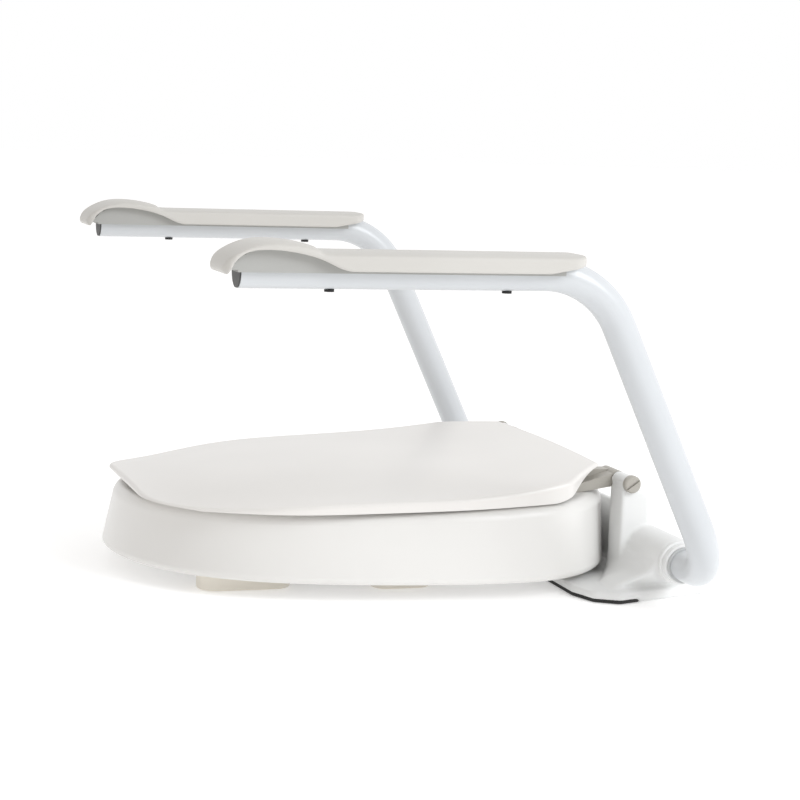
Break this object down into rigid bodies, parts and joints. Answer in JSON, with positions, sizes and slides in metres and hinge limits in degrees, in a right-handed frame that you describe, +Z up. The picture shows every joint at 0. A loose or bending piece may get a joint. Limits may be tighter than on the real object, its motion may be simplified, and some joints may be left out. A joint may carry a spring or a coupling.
{
  "type": "raised toilet seat",
  "caption": "Raised toilet seat with a deep moulded ring, domed lid, rear mounting base with crosswise pivots, and fold-up tube armrests with humped pads.",
  "frame": {"origin": "centre of the bounding box's bottom face, on the plane that the mat and bumpers rest on", "axes": "+Z up, -Y to the front of the seat, +X to the sitter's left"},
  "size_m": [0.604, 0.4628, 0.289],
  "materials": {
    "seat_plastic": "satin moulded white",
    "lid_plastic": "satin moulded white",
    "base_plastic": "moulded white",
    "hinge_plastic": "moulded off-white",
    "bush_plastic": "moulded pale grey",
    "mat_rubber": "matt black rubber",
    "bumper_rubber": "cream rubber",
    "tube_paint": "white powder coat",
    "plug_plastic": "dark grey moulded",
    "core_plastic": "grey moulded",
    "pad_skin": "soft light grey integral skin foam",
    "screw_steel": "plain steel",
    "screw_dark": "dark coated steel"
  },
  "bodies": {
    "base": {"mounting_base": "base_plastic", "base_mat": "mat_rubber", "pivot_bush_left": "bush_plastic", "pivot_bush_right": "bush_plastic", "barrel_collar_left": "base_plastic", "barrel_collar_right": "base_plastic", "hinge_pin_left": "hinge_plastic", "hinge_pin_right": "hinge_plastic"},
    "seat": {"seat_ring": "seat_plastic", "ring_underside": "seat_plastic", "ring_bumper_front_left": "bumper_rubber", "ring_bumper_front_right": "bumper_rubber", "ring_bumper_middle_left": "bumper_rubber", "ring_bumper_middle_right": "bumper_rubber", "ring_rear_buffers": "bumper_rubber", "seat_hinge_lug_left": "hinge_plastic", "seat_hinge_lug_right": "hinge_plastic", "seat_hinge_screws": "screw_steel"},
    "lid": {"lid": "lid_plastic", "lid_buffers": "bumper_rubber", "lid_hinge_arm_left": "hinge_plastic", "lid_hinge_arm_right": "hinge_plastic"},
    "arm_left": {"arm_tube_left": "tube_paint", "tube_front_plug_left": "plug_plastic", "tube_pivot_insert_left": "plug_plastic", "pivot_washer_left": "screw_steel", "pivot_screw_left": "screw_steel", "armrest_core_left": "core_plastic", "armrest_cover_left": "pad_skin", "armrest_screws_left": "screw_dark"},
    "arm_right": {"arm_tube_right": "tube_paint", "tube_front_plug_right": "plug_plastic", "tube_pivot_insert_right": "plug_plastic", "pivot_washer_right": "screw_steel", "pivot_screw_right": "screw_steel", "armrest_core_right": "core_plastic", "armrest_cover_right": "pad_skin", "armrest_screws_right": "screw_dark"}
  },
  "joints": [
    {"name": "seat_hinge", "type": "hinge", "parent": "base", "child": "seat", "pos_m": [0, 0.17143, 0.0865], "axis": [-1, 0, 0], "range_deg": [0, 90]},
    {"name": "lid_hinge", "type": "hinge", "parent": "seat", "child": "lid", "pos_m": [0, 0.17143, 0.0865], "axis": [-1, 0, 0], "range_deg": [0, 95]},
    {"name": "arm_left_pivot", "type": "hinge", "parent": "base", "child": "arm_left", "pos_m": [0, 0.18893, 0.0335], "axis": [-1, 0, 0], "range_deg": [0, 90]},
    {"name": "arm_right_pivot", "type": "hinge", "parent": "base", "child": "arm_right", "pos_m": [0, 0.18893, 0.0335], "axis": [-1, 0, 0], "range_deg": [0, 90]}
  ]
}
